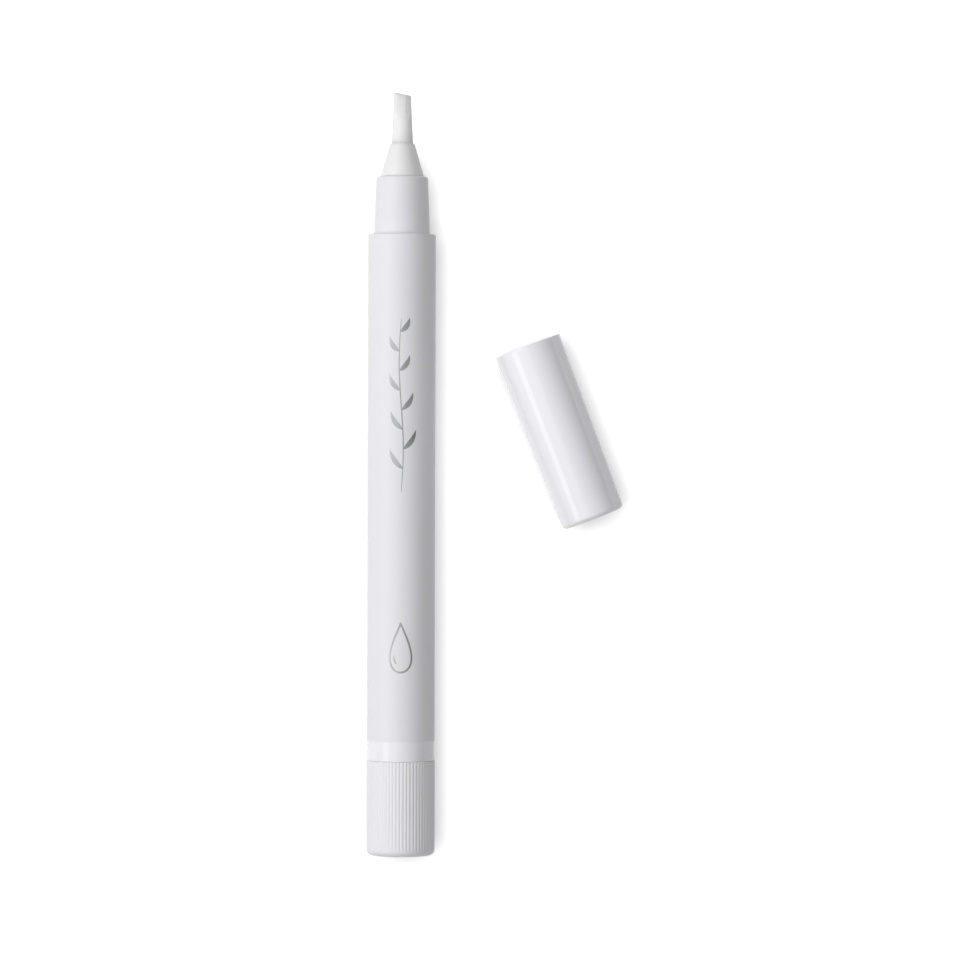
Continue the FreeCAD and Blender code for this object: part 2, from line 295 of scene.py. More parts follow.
# %% [markdown]
# ## Writing finishes as sums
#
# A procedural finish is arithmetic on patterns: some grain times a small number is added to a roughness,
# a streak weighs two colours. Wiring Math nodes by hand hides that, so a small class wraps a node's
# output and lets Python's own operators add the Math nodes.


# %% Define values
class Value:
    """The output of a node. Arithmetic on it adds Math nodes to the same tree."""

    def __init__(self, nodes, socket):
        self.nodes = nodes
        self.socket = socket

    def maths(self, operation, first, second):
        return self.nodes.node("ShaderNodeMath", {"operation": operation}, {0: first, 1: second})

    def __add__(self, other):
        return self.maths("ADD", self, other)

    def __radd__(self, other):
        return self.maths("ADD", other, self)

    def __sub__(self, other):
        return self.maths("SUBTRACT", self, other)

    def __rsub__(self, other):
        return self.maths("SUBTRACT", other, self)

    def __mul__(self, other):
        return self.maths("MULTIPLY", self, other)

    def __rmul__(self, other):
        return self.maths("MULTIPLY", other, self)


print("operators with a number first:", [name for name in vars(Value) if name.startswith("__r")])

# %% [markdown]
# ## Trees of nodes
#
# Materials and the room's light are both trees of nodes that end in a shader. One method makes any node,
# with its settings first and its sockets after, because some sockets appear only once a setting is made.
# A second method lets a value change one socket of the shader.


# %% Define trees
class Nodes:
    """A node tree being written, with its last shader."""

    def __init__(self, tree, shader):
        self.tree = tree
        self.shader = tree.nodes[shader]

    def node(self, kind, settings=None, sockets=None, output=0):
        """Makes any node: its settings are set first, then the values or links of its sockets."""
        made = self.tree.nodes.new(kind)
        for name, value in (settings or {}).items():
            setattr(made, name, value)
        for name, value in (sockets or {}).items():
            if isinstance(value, Value):
                self.tree.links.new(value.socket, made.inputs[name])
            else:
                made.inputs[name].default_value = value
        return Value(self, made.outputs[output])

    def drive(self, socket, value):
        """Lets a value change a socket of the shader."""
        self.tree.links.new(value.socket, self.shader.inputs[socket])


print("methods:", [name for name in vars(Nodes) if not name.startswith("_")])

# %% [markdown]
# ## Finishes
#
# A finish is a material whose constant settings sit on the shader's own sockets, and whose patterns are
# drawn in millimetres on the piece. Object coordinates give the place, and because every piece keeps its
# object at the origin, a pattern never slides. The record's colours are the starting point of each
# finish.


# %% Define finishes
class Finish(Nodes):
    """A material being written, with its place on the piece in millimetres."""

    def __init__(self, name, **constants):
        self.material = bpy.data.materials.new(name)
        self.material.use_nodes = True
        super().__init__(self.material.node_tree, "Principled BSDF")
        for socket, value in constants.items():
            self.shader.inputs[socket.replace("_", " ")].default_value = value
        place = self.node("ShaderNodeTexCoord", output="Object")
        self.place = self.node("ShaderNodeVectorMath", {"operation": "SCALE"}, {0: place, "Scale": 1 / MM})

    def noise(self, size, detail=2.0, stretch=(1, 1, 1)):
        """Soft noise from 0 to 1 whose lumps are about a size in millimetres, drawn out by a stretch."""
        scale = tuple(1 / (size * share) for share in stretch)
        place = self.node("ShaderNodeVectorMath", {"operation": "MULTIPLY"}, {0: self.place, 1: scale})
        return self.node("ShaderNodeTexNoise", {}, {"Vector": place, "Scale": 1.0, "Detail": detail})

    def blend(self, weight, first, second):
        """Colour between two colours."""
        return self.node("ShaderNodeMix", {"data_type": "RGBA"}, {0: weight, 6: first, 7: second}, output=2)

    def emboss(self, height, depth):
        """Raises the surface by a height from 0 to 1 times a depth in millimetres, by bump alone."""
        sockets = {"Height": height, "Distance": depth * MM, "Strength": 1.0}
        self.drive("Normal", self.node("ShaderNodeBump", {}, sockets))


def shade(colour, change):
    """A colour lightened or darkened by a share, with full alpha."""
    return (*(min(1.0, part * (1 + change)) for part in colour), 1.0)


colour_of = {entry["slot"]: entry["base_color"] for entry in frame["record"]["materials"]}
print("slots:", ", ".join(colour_of))

# %% [markdown]
# ## Moulded whites
#
# The barrel, the knob and the front section are moulded in steel that was spark-eroded, which leaves a
# very fine, even grain and a soft sheen without a sharp reflection. The grain is far smaller than a pixel
# in the photograph, so it is a shallow bump and a little change of roughness. A slow drift of colour of
# about one part in a hundred is the way that the pigment flows when the plastic fills the mould. The cap
# and the ring come from polished steel: the same recipe with a low roughness and only long, faint waves.


# %% Write the moulded whites
def moulded(name, slot, roughness, grain, depth, drift, lift=0.0, **constants):
    """Moulded plastic: grain of a size and depth in millimetres on the surface, and a slow drift of colour.

    The roughness is its mean, because each noise averages a half and half of its weight is taken off
    first.
    """
    finish = Finish(name, **constants)
    speckle_weight = 0.08
    flow_weight = 0.04
    speckle = finish.noise(grain, detail=3.0)
    flow = finish.noise(9.0, detail=1.0, stretch=(1, 2.5, 1))
    darker = shade(colour_of[slot], lift - drift)
    lighter = shade(colour_of[slot], lift + drift)
    finish.drive("Base Color", finish.blend(flow, darker, lighter))
    lowest = roughness - (speckle_weight + flow_weight) / 2
    finish.drive("Roughness", lowest + speckle_weight * speckle + flow_weight * flow)
    finish.emboss(speckle, depth)
    return finish.material


satin_white = moulded("satin_white", "satin_white", roughness=0.47, grain=0.12, depth=0.004, drift=0.008)
gloss_white = moulded(
    "gloss_white", "gloss_white", roughness=0.05, grain=1.6, depth=0.0025, drift=0.006, lift=0.02
)
polished_ring = moulded(
    "polished_ring", "gloss_white", roughness=0.2, grain=1.6, depth=0.0025, drift=0.006, lift=-0.045
)
print("finishes:", satin_white.name, gloss_white.name, polished_ring.name)

# %% [markdown]
# ## Barrel
#
# The barrel is the longest piece: a plain tube, 11 mm across, that is also the chamber for the oil. Its
# rear rim meets the ring without a visible step, and its front rim has a small rounding that catches a
# line of light. It could be a cylinder with a Bevel modifier, but its outline has only four corners.

# %% Turn the barrel
piston_gap = 0.05
bore = radius("piston") + piston_gap
barrel_corners = [
    (radius("barrel"), rear("barrel"), 0.02),
    (radius("barrel"), front("barrel"), 0.22),
    (bore, front("barrel"), 0.08),
    (bore, rear("barrel"), 0.08),
]
add_turned("barrel_tube", barrel_corners, True, pen_axis, "barrel", satin_white, "satin_white", "barrel")
print("bore in mm:", round(2 * bore, 2))

# %% [markdown]
# ## The knob's ribs
#
# Sixty fine half-round ribs run along the twist knob, so that oily fingers can turn it. They could be
# sixty copies of one rib, but that makes a mesh with sixty seams. Here they are cut by the turn: across
# one rib the radius follows a circular arc, highest in the middle and lowest where two ribs meet. The
# ribs fade out just before the rounded end.

# %% Shape the ribs
knob_radius = radius("twist_knob")
rib_count = 60
rib_height = 0.065
end_rounding = 1.0
fade_start = 0.45 * end_rounding


def eased(share):
    """A share from 0 to 1 that starts and ends gently: three times its square less twice its cube."""
    share = np.clip(share, 0, 1)
    return share * share * (3 - 2 * share)


def rib_drop(turns, alongs):
    """Fall below the ribs' tops: the sagitta of an arc that spans one rib and drops by its height."""
    half_pitch = math.pi * knob_radius / rib_count
    arc_radius = (half_pitch**2 + rib_height**2) / (2 * rib_height)
    across = half_pitch * ((turns * rib_count / math.pi) % 2 - 1)
    return eased((alongs - fade_start) / end_rounding) * (arc_radius - np.sqrt(arc_radius**2 - across**2))


print("rib pitch in mm:", round(2 * math.pi * knob_radius / rib_count, 3))

# %% [markdown]
# ## The knob's cup
#
# Inside, the knob is a cup with a groove that snaps over the neck behind the ring, and a hub with two
# keyways that turns the driver tube. A keyway has straight sides, so in the turned grid its radius is
# worked out for each turn: the line of its side or its top, whichever is nearer, wherever that lies
# outside the round bore.

# %% Draw the cup and the hub
knob_front = front("twist_knob")
cup_radius = 4.66
cup_floor = 1.2
groove_radius = cup_radius + 0.28
groove_slope = 0.1
groove_front = knob_front - 3.4
groove_rear = groove_front - 0.9
hub_bore = 2.53
hub_radius = 3.38
hub_top = rear("screw_seat") - 0.65
keyway_radius = 3.03
keyway_half_width = 0.505


def keyed_bore(turns):
    """Radius of the hub's bore: round, but as deep as the keyways where their straight sides lie outside."""
    side = keyway_half_width / np.maximum(np.abs(np.sin(turns)), tiny)
    top = keyway_radius / np.maximum(np.abs(np.cos(turns)), tiny)
    return np.maximum(hub_bore, np.minimum(side, top))


knob_corners = [
    (0, 0, 0),
    (knob_radius, 0, end_rounding),
    (knob_radius, 1.5 * end_rounding, 0),
    (knob_radius, knob_front, 0.03),
    (cup_radius, knob_front, 0.12),
    (cup_radius, groove_front + groove_slope, 0.05),
    (groove_radius, groove_front, 0.05),
    (groove_radius, groove_rear, 0.05),
    (cup_radius, groove_rear - groove_slope, 0.05),
    (cup_radius, cup_floor, 0.3),
    (hub_radius, cup_floor, 0.2),
    (hub_radius, hub_top, 0.15),
    (hub_bore, hub_top, 0),
    (hub_bore, cup_floor, 0),
    (0, cup_floor, 0),
]
print("hub from", cup_floor, "to", round(hub_top, 2), "mm")

# %% Turn the knob
knob_outline = rounded_outline(knob_corners, False)
knob_turns = turns_of(12 * rib_count)
knob_radii = knob_outline[:, :1] + 0 * knob_turns
knob_alongs = knob_outline[:, 1:]
on_ribs = knob_radii > groove_radius + 0.02
in_hub = np.abs(knob_radii - hub_bore) < tiny
knob_radii = np.where(on_ribs, knob_radii - rib_drop(knob_turns, knob_alongs), knob_radii)
knob_radii = np.where(in_hub, keyed_bore(knob_turns), knob_radii)
knob_grid = turned_grid(knob_radii, knob_alongs, knob_turns, pen_axis)
add_piece("ribbed_knob", knob_grid, False, "knob", satin_white, "satin_white", "twist_knob")
print("knob is", round(knob_front, 2), "mm long")

# %% [markdown]
# ## Thread and ratchet
#
# The screw seat holds a nut, and the nut's thread rises 2 mm a turn. Its radius is a cosine of the place
# along the axis less the turn. The rod has the same phase, so the two stay in step however far the knob
# is turned. Twelve saw teeth inside the seat's neck make the knob click and keep it from turning back.
# Both are changes of radius, so both fit a turned grid.

# %% Shape the thread and the teeth
thread_lead = 2.0
thread_middle = 1.6
thread_height = 0.15
thread_gap = 0.06
tooth_valley = 4.05
tooth_height = 0.4
tooth_count = 12


def threaded(turns, alongs):
    """Radius of the screw: its middle plus its height times the cosine of the place along less the turn."""
    return thread_middle + thread_height * np.cos(2 * math.pi * alongs / thread_lead - turns)


def toothed(turns):
    """Radius inside the ratchet: it falls evenly across each tooth and jumps back at the next."""
    return tooth_valley - tooth_height * ((turns * tooth_count / (2 * math.pi)) % 1)


print("one tooth is", round(2 * math.pi * tooth_valley / tooth_count, 2), "mm wide")

# %% [markdown]
# ## Screw seat
#
# Only a short glossy ring of this piece shows, between the knob and the barrel. Behind it a neck with a
# raised catch carries the knob. In front of it a plug sits in the barrel, and a tube reaches forward to
# the nut. The nut needs many rows for its thread, so its two rows are exchanged for a fine ladder of
# rows.

# %% Draw the screw seat
seat_gap = 0.03
neck_rear = rear("screw_seat")
neck_radius = 4.6
catch_radius = 4.85
ring_rear = knob_front + seat_gap
ring_radius = radius("screw_seat")
plug_radius = bore - seat_gap
plug_front = rear("barrel") + 9
tube_radius = 3.61
tube_bore = 2.56
nut_radius = thread_middle + thread_height + thread_gap
nut_front = front("screw_seat")
nut_rear = nut_front - 5.0
tooth_front = neck_rear + 3.2
seat_corners = [
    (neck_radius, neck_rear, 0.1),
    (neck_radius, groove_rear, 0.05),
    (catch_radius, groove_rear + 0.45, 0.05),
    (catch_radius, groove_front - 0.05, 0.05),
    (neck_radius, groove_front, 0),
    (neck_radius, ring_rear, 0.05),
    (ring_radius, ring_rear, 0.03),
    (ring_radius, rear("barrel"), 0.02),
    (plug_radius, rear("barrel"), 0),
    (plug_radius, plug_front, 0.25),
    (tube_radius, plug_front, 0.15),
    (tube_radius, nut_front, 0.2),
    (nut_radius, nut_front, 0),
    (nut_radius, nut_rear, 0),
    (tube_bore, nut_rear, 0),
    (tube_bore, tooth_front, 0.1),
    (tooth_valley, tooth_front, 0),
    (tooth_valley, neck_rear, 0),
]
print("ring from", round(ring_rear, 2), "to", round(rear("barrel"), 2), "mm")

# %% Turn the screw seat
seat_outline = rounded_outline(seat_corners, True)
nut_first = int(np.flatnonzero(np.abs(seat_outline[:, 0] - nut_radius) < tiny)[0])
nut_alongs = np.linspace(nut_front, nut_rear, 61)
nut_rows = np.stack([np.full(len(nut_alongs), nut_radius), nut_alongs], axis=-1)
seat_outline = np.concatenate([seat_outline[:nut_first], nut_rows, seat_outline[nut_first + 2 :]])
seat_turns = turns_of(360)
seat_radii = seat_outline[:, :1] + 0 * seat_turns
seat_alongs = seat_outline[:, 1:]
in_ratchet = np.abs(seat_radii - tooth_valley) < tiny
in_nut = np.abs(seat_radii - nut_radius) < tiny
seat_radii = np.where(in_ratchet, toothed(seat_turns), seat_radii)
seat_radii = np.where(in_nut, threaded(seat_turns, seat_alongs) + thread_gap, seat_radii)
seat_grid = turned_grid(seat_radii, seat_alongs, seat_turns, pen_axis)
add_piece("ring_and_seat", seat_grid, True, "barrel", polished_ring, "gloss_white", "screw_seat")
print("turns of thread in the nut:", (nut_front - nut_rear) / thread_lead)

# %% [markdown]
# ## Front section
#
# A tapered collar stands in front of the barrel, and the cap slides over it. Its plug goes 9 mm into the
# barrel, with a groove for a sealing ring, and its front has a socket for the nose cone. It is a plain
# lathe piece, so its corners are enough. The rounded front edge is what makes the collar look soft in the
# photograph.

# %% Turn the front section
collar_front = front("front_section")
collar_tip_radius = 4.2
section_rear = rear("front_section")
seal_gap = 0.125
seal_groove_rear = rear("section_seal") - seal_gap
seal_groove_front = front("section_seal") + seal_gap
seal_groove_floor = 3.37
socket_floor = rear("nose_cone") - 0.1
socket_radius = 2.93
oil_channel = 1.76
section_corners = [
    (plug_radius, section_rear, 0.3),
    (plug_radius, seal_groove_rear, 0.05),
    (seal_groove_floor, seal_groove_rear, 0.08),
    (seal_groove_floor, seal_groove_front, 0.08),
    (plug_radius, seal_groove_front, 0.05),
    (plug_radius, front("barrel"), 0),
    (radius("front_section"), front("barrel"), 0.06),
    (collar_tip_radius, collar_front, 0.45),
    (socket_radius, collar_front, 0.06),
    (socket_radius, socket_floor, 0),
    (oil_channel, socket_floor, 0),
    (oil_channel, section_rear, 0.15),
]
add_turned("collar", section_corners, True, pen_axis, "barrel", satin_white, "satin_white", "front_section")
print("collar to", round(collar_front, 2), "mm")

# %% [markdown]
# ## Nose cone
#
# The nose cone is a separate piece, pressed into the collar's socket, and it grips the nib. It is moulded
# in a plainer, neutral white that lets a little light in, which is why it looks softer than the rest.
# Subsurface scattering does that. Its spread is the same for red, green and blue, because Blender's
# default spread, which suits skin, would leave a reddish fringe.

# %% Turn the nose cone
even_spread = (1.0, 1.0, 1.0)
nose_white = moulded(
    "nose_white",
    "nose_white",
    roughness=0.42,
    grain=0.3,
    depth=0.003,
    drift=0.01,
    Subsurface_Weight=0.3,
    Subsurface_Radius=even_spread,
    Subsurface_Scale=0.5 * MM,
)
spigot_radius = 2.9
cone_tip_radius = 2.0
cone_corners = [
    (oil_channel, rear("nose_cone"), 0.1),
    (spigot_radius, rear("nose_cone"), 0.2),
    (spigot_radius, collar_front, 0),
    (radius("nose_cone"), collar_front, 0.12),
    (cone_tip_radius, front("nose_cone"), 0.12),
    (oil_channel, front("nose_cone"), 0.05),
]
add_turned("nose", cone_corners, True, pen_axis, "barrel", nose_white, "nose_white", "nose_cone")
print("cone to", round(front("nose_cone"), 2), "mm")

# %% [markdown]
# ## Nib fibre
#
# The nib is a rod of pressed polyester fibres that carries the oil by its fine gaps. Light enters it
# easily and comes out again a few millimetres away, so its shaded side stays pale. Streaks that are
# twenty times longer than wide stand for the fibres, and coarser tufts make the surface a little uneven.

# %% Write the fibre
nib_fibre = Finish(
    "nib_fibre", Subsurface_Weight=1.0, Subsurface_Radius=even_spread, Subsurface_Scale=2.8 * MM
)
strands = nib_fibre.noise(0.09, detail=3.0, stretch=(1, 22, 1))
tufts = nib_fibre.noise(0.35, detail=2.0, stretch=(1, 3, 1))
plain_fibre = shade(colour_of["nib_fibre"], 0.02)
pale_fibre = shade(colour_of["nib_fibre"], 0.14)
nib_fibre.drive("Base Color", nib_fibre.blend(strands, plain_fibre, pale_fibre))
nib_fibre.drive("Roughness", 0.72 + 0.2 * strands)
nib_fibre.emboss(0.7 * strands + 0.3 * tufts, 0.03)
print("finish:", nib_fibre.material.name)

# %% [markdown]
# ## Nib cross-section
#
# The rod is round where it leaves the cone, and its front is pressed into a thin block. Cutting a solid
# with boolean tools would leave knife edges. A cross-section that changes along the rod does it better: a
# superellipse, which is a circle when its power is 2 and close to a rectangle above 4.


# %% Define the cross-section
def squared_round(turns, half_width, half_height, power):
    """Radius of a superellipse at a turn from upright.

    The shares of the half height and half width that a unit step in that direction covers are raised to
    the power and added, and the radius is one over the power's root of that sum.
    """
    upright = np.abs(np.cos(turns)) / half_height
    level = np.abs(np.sin(turns)) / half_width
    return (upright**power + level**power) ** (-1 / power)


def pressed(height, limit, corner):
    """A height held below a limit: the least of the two, smoothed over a corner as a hyperbola is."""
    spare = limit - height
    return (height + limit - np.sqrt(spare**2 + corner**2)) / 2


print("a circle of 2 mm:", round(float(squared_round(0.7, 2, 2, 2)), 3), "mm")

# %% Lay out the nib's rows
nib_tip = front("nib")
nib_tail = rear("nib")
nib_base = front("nose_cone")
in_cone = np.linspace(nib_tail, nib_base, 6)
in_air = np.linspace(nib_base, nib_tip, 100)[1:]
nib_alongs = np.concatenate([[nib_tail], in_cone, in_air, [nib_tip, nib_tip, nib_tip]])[:, None]
full_rows = np.ones(len(in_cone) + len(in_air) - 1)
shrink = np.concatenate([[0], full_rows, [0.985, 0.96, 0.9, 0]])[:, None]
print("nib stands out by", round(nib_tip - nib_base, 2), "mm on", len(nib_alongs), "rows")

# %% [markdown]
# ## Nib block
#
# The rod tapers a little towards its tip. Where the press closed on it there is a small shoulder, and
# from there the block gets thinner up to the tip while its corners sharpen. All of this is a half width,
# a half height and a power for each row.

# %% Press the block
nib_root = radius("nib")
nib_end = 1.35
block_length = 4.4
block_half_height = 0.5
shoulder = 0.16
round_power = 2.0
block_power = 4.5
nib_turns = turns_of(200)
taper = np.clip((nib_alongs - nib_base) / (nib_tip - nib_base), 0, 1)
half_width = nib_root + (nib_end - nib_root) * taper
block = np.clip((nib_alongs - nib_tip + block_length) / block_length, 0, 1)
step_down = shoulder * eased(8 * block)
thinning = (block_half_height - nib_end * (1 - shoulder)) * block
half_height = half_width * (1 - step_down) + thinning
nib_power = round_power + (block_power - round_power) * eased(3 * block)
nib_radii = squared_round(nib_turns, half_width, half_height, nib_power)
sideways = nib_radii * np.sin(nib_turns)
upward = nib_radii * np.cos(nib_turns)
print("nib is", round(2 * nib_end, 2), "mm wide and", 2 * block_half_height, "mm thick at its tip")

# %% [markdown]
# ## Bevel, seam and slanted end
#
# The block's right upper edge is worn to a bevel, with a shallow seam along it where the press halves
# met. The end is cut at a slant and is not quite straight, since a knife tears the fibres a little. Each
# of these moves the points of the grid: the bevel and the seam lower them, and the slant draws them back.

# %% Bevel and cut the nib
bevel_start = 0.45
bevel_slope = 0.75
bevel_corner = 0.05
bevel_fall = bevel_slope * eased(4 * block) * np.maximum(sideways - bevel_start, 0)
bevelled = pressed(upward, half_height + bevel_corner - bevel_fall, bevel_corner)
upward = np.where(upward > 0, np.minimum(upward, bevelled), upward)

seam_half_width = 0.12
seam_place = 1.15 - 0.35 * eased(3 * block)
seam_depth = 0.05 + 0.07 * eased(4 * block)
out_of_cone = np.clip((nib_alongs - nib_base) / 0.5, 0, 1)
seam = np.exp(-(((sideways - seam_place) / seam_half_width) ** 2)) * out_of_cone
upward = np.where(upward > 0, upward - seam_depth * seam, upward)

slant = math.tan(math.radians(10))
ripple = 0.03 * np.sin(9 * sideways + 0.7) + 0.02 * np.sin(23 * sideways)
ripple_room = 0.05
set_back = block**2 * ((sideways + nib_end) * slant - ripple + ripple_room)
print("slant draws one corner back by", round(2 * nib_end * slant, 2), "mm")

# %% Add the nib
nib_grid = np.stack([sideways * shrink, nib_alongs - set_back, upward * shrink], axis=-1)
nib_grid[0] = nib_grid[0].mean(axis=0)
nib_grid[-1] = nib_grid[-1].mean(axis=0)
add_piece("fibre_nib", nib_grid, False, "barrel", nib_fibre.material, "nib_fibre", "nib")
print("nib's tip at", round(nib_grid[..., 1].max(), 2), "mm")

# %% [markdown]
# ## Cap
#
# The cap is polished, a little narrower at its closed end, and lies on its side with its mouth towards
# the nib. It is turned like the rest, about its own axis. Its outline starts and ends on that axis, so it
# has two poles: one on the closed end and one on the floor inside.

# %% Turn the cap
cap_length = 30.2
cap_floor = cap_length - 1.2
cap_seat = collar_front - front("barrel") + 0.3
cap_end_radius = 5.3
cap_mouth_radius = 5.55
cap_bore = mouth["dims"]["r_mm"]
cap_inner_radius = 4.15
cap_corners = [
    (0, cap_length, 0),
    (cap_end_radius, cap_length, 0.8),
    (cap_mouth_radius, 0, 0.15),
    (cap_bore, 0, 0.15),
    (cap_bore, cap_seat, 0.1),
    (cap_inner_radius, cap_seat, 0.1),
    (cap_inner_radius, cap_floor, 0.2),
    (0, cap_floor, 0),
]
add_turned("cap", cap_corners, False, cap_axis, "cap", gloss_white, "gloss_white", "cap_shell")
print("cap's wall at the mouth:", round(cap_mouth_radius - cap_bore, 2), "mm")

# %% [markdown]
# ## Cap liner
#
# A soft cup inside the cap closes round the nose cone and keeps the nib wet. It is made of polyethylene,
# waxy and less bright than the cap, and it shows only when someone looks into the mouth.

# %% Turn the liner
soft_polyethylene = moulded(
    "soft_polyethylene", "soft_polyethylene", roughness=0.4, grain=0.6, depth=0.003, drift=0.01
)
liner_radius = 4.12
liner_bore = 3.67
liner_floor = cap_floor - 0.8
liner_corners = [
    (0, cap_floor, 0),
    (liner_radius, cap_floor, 0.3),
    (liner_radius, cap_seat, 0.1),
    (liner_bore, cap_seat, 0.1),
    (liner_bore, liner_floor, 0.3),
    (0, liner_floor, 0),
]
add_turned(
    "liner", liner_corners, False, cap_axis, "cap", soft_polyethylene, "soft_polyethylene", "cap_liner"
)
print("liner's wall:", round(liner_radius - liner_bore, 2), "mm")

# %% [markdown]
# ## Screw rod
#
# Nothing of the working parts shows when the pen is closed, but they are what makes it a pen. The rod is
# threaded and has two flats, by which the driver tube turns it, and its head snaps into the piston. It is
# the same grid as a plain bar, with the thread in its radius and its height held between the two flats.
# It is moulded in acetal, which is milky when it isn't coloured.

# %% Make the rod
natural_acetal = moulded(
    "natural_acetal", "natural_acetal", roughness=0.38, grain=0.5, depth=0.003, drift=0.012
)
rod_rear = rear("piston_rod")
rod_front = front("piston_rod")
rod_shoulder = rod_front - 2.5
rod_end_radius = 1.2
rod_chamfer_slope = 3
rod_neck_radius = 1.0
rod_head_radius = 1.45
rod_head_rear = rod_front - 1.7
rod_half_height = 1.3
rod_turns = turns_of(72)
screw_alongs = np.linspace(rod_rear, rod_shoulder, 361)[:, None]
chamfer = rod_end_radius + rod_chamfer_slope * (screw_alongs - rod_rear)
screw_radii = np.minimum(threaded(rod_turns, screw_alongs), chamfer)
head_corners = [
    (rod_end_radius, rod_shoulder, 0),
    (rod_neck_radius, rod_shoulder, 0),
    (rod_neck_radius, rod_head_rear, 0),
    (rod_head_radius, rod_head_rear, 0.1),
    (rod_head_radius, rod_front - 0.6, 0.1),
    (0.9, rod_front, 0.1),
    (0, rod_front, 0),
]
rod_head = rounded_outline(head_corners, False)
head_radii = rod_head[:, :1] + 0 * rod_turns
rod_radii = np.concatenate([0 * rod_turns, screw_radii, head_radii])
rod_alongs = np.concatenate([screw_alongs[:1], screw_alongs, rod_head[:, 1:]])
rod_grid = turned_grid(rod_radii, rod_alongs, rod_turns, pen_axis)
rod_grid[..., 2] = np.clip(rod_grid[..., 2], -rod_half_height, rod_half_height)
add_piece("screw_rod", rod_grid, False, "rod", natural_acetal, "natural_acetal", "piston_rod")
print("thread turns on the rod:", round((rod_shoulder - rod_rear) / thread_lead, 1))

# %% [markdown]
# ## Piston
#
# The piston is a soft plug with a sealing band at each end and a waist between them. Its front is dished,
# so that it follows the front section and leaves little oil behind. Its rear has a socket that snaps over
# the rod's head.

# %% Turn the piston
piston_rear = rear("piston")
piston_front = front("piston")
piston_radius = radius("piston")
piston_waist = piston_radius - 0.45
dish_floor = piston_front - 0.5
band_length = 0.9
band_foot = 1.6
snap_radius = 1.06
snap_front = piston_rear + 0.7
socket_front = piston_rear + 2.6
head_socket = 1.55
piston_corners = [
    (0, dish_floor, 0),
    (2.6, dish_floor, 0.5),
    (3.7, piston_front, 0.1),
    (piston_radius, piston_front - 0.1, 0.1),
    (piston_radius, piston_front - band_length, 0.2),
    (piston_waist, piston_front - band_foot, 0.3),
    (piston_waist, piston_rear + band_foot, 0.3),
    (piston_radius, piston_rear + band_length, 0.2),
    (piston_radius, piston_rear, 0.15),
    (snap_radius, piston_rear, 0.1),
    (snap_radius, snap_front, 0),
    (head_socket, snap_front, 0.1),
    (head_socket, socket_front, 0.2),
    (0, socket_front, 0),
]
add_turned(
    "plunger",
    piston_corners,
    False,
    pen_axis,
    "piston",
    soft_polyethylene,
    "soft_polyethylene",
    "piston",
    columns=128,
)
print("piston is", round(piston_front - piston_rear, 2), "mm long")

# %% [markdown]
# ## Seal, driver and click ring
#
# A square-cut silicone ring sits in the front plug's groove and keeps the oil in the barrel. The driver
# tube and the click ring are already right as solids, so they only get the milky look of acetal.

# %% Turn the seal and finish the drive
silicone = moulded("silicone", "silicone", roughness=0.45, grain=0.4, depth=0.003, drift=0.01)
seal_bore = bore - 0.9
seal_corners = [
    (seal_bore, rear("section_seal"), 0.15),
    (radius("section_seal"), rear("section_seal"), 0.3),
    (radius("section_seal"), front("section_seal"), 0.3),
    (seal_bore, front("section_seal"), 0.15),
]
add_turned("seal_ring", seal_corners, True, pen_axis, "barrel", silicone, "silicone", "section_seal", 128)
for node in ("driver_tube", "click_ring"):
    frame["nodes"][node].data.materials.clear()
    frame["nodes"][node].data.materials.append(natural_acetal)
print("seal is", round(front("section_seal") - rear("section_seal"), 2), "mm wide")

# %% [markdown]
# ## Foil ribbons
#
# Such pens carry a little metal foil, stamped on hot. This one gets a plain ornament: the outline of a
# drop of oil with a glint in it, and further forward a sprig with eight leaves. An image would be the
# usual way, but a drawn ribbon stays sharp at any size. Each foil line is a ribbon carried along a path
# that is drawn on the unrolled barrel and bent round it. Its lower edges lie just under the surface, so
# nothing floats or flickers.

# %% Bend a ribbon round the barrel
foil_sink = 0.02
foil_rise = 0.012
foil_crown = 0.022


def foil_grid(around, alongs, half_width, closed):
    """Ribbon with a raised middle along a path on the unrolled barrel, bent round it.

    The path's direction is its central difference, the ribbon reaches half its width to each side of it,
    and the turn about the axis is the distance around divided by the barrel's radius. An open path ends
    in two points.
    """
    if closed:
        step_around = np.roll(around, -1) - np.roll(around, 1)
        step_along = np.roll(alongs, -1) - np.roll(alongs, 1)
    else:
        step_around = np.gradient(around)
        step_along = np.gradient(alongs)
    length = np.hypot(step_around, step_along)
    edge = np.array([1, 1, 0, -1, -1]) * half_width[:, None]
    level = radius("barrel") + np.array([-foil_sink, foil_rise, foil_crown, foil_rise, -foil_sink])
    edge_around = around[:, None] + edge * (step_along / length)[:, None]
    edge_along = alongs[:, None] - edge * (step_around / length)[:, None]
    turns = edge_around / radius("barrel")
    grid = turned_grid(level + 0 * turns, edge_along, turns, pen_axis)
    if not closed:
        grid[0] = grid[0].mean(axis=0)
        grid[-1] = grid[-1].mean(axis=0)
    return grid


print("foil stands", foil_crown, "mm above the barrel")

# %% [markdown]
# ## Foil metal
#
# The foil is aluminium under a thin grey lacquer. As a metal it shows mostly what it reflects, so its own
# colour is a middle grey, with faint brushing along the pen in its colour and roughness.

# %% Write the foil
foil = Finish("foil", Metallic=1.0)
brushed = foil.noise(0.15, detail=2.0, stretch=(1, 4, 1))
dark_foil = (0.30, 0.305, 0.32, 1)
light_foil = (0.40, 0.405, 0.42, 1)
foil.drive("Base Color", foil.blend(brushed, dark_foil, light_foil))
foil.drive("Roughness", 0.26 + 0.12 * brushed)
print("finish:", foil.material.name)

# %% [markdown]
# ## Foil drop
#
# A drop is a circle whose width is drawn in at one end: the sine of the turn is weighed by a power of the
# sine of half the turn. The glint is a short piece of a smaller drop, drawn with a line that swells and
# tapers.

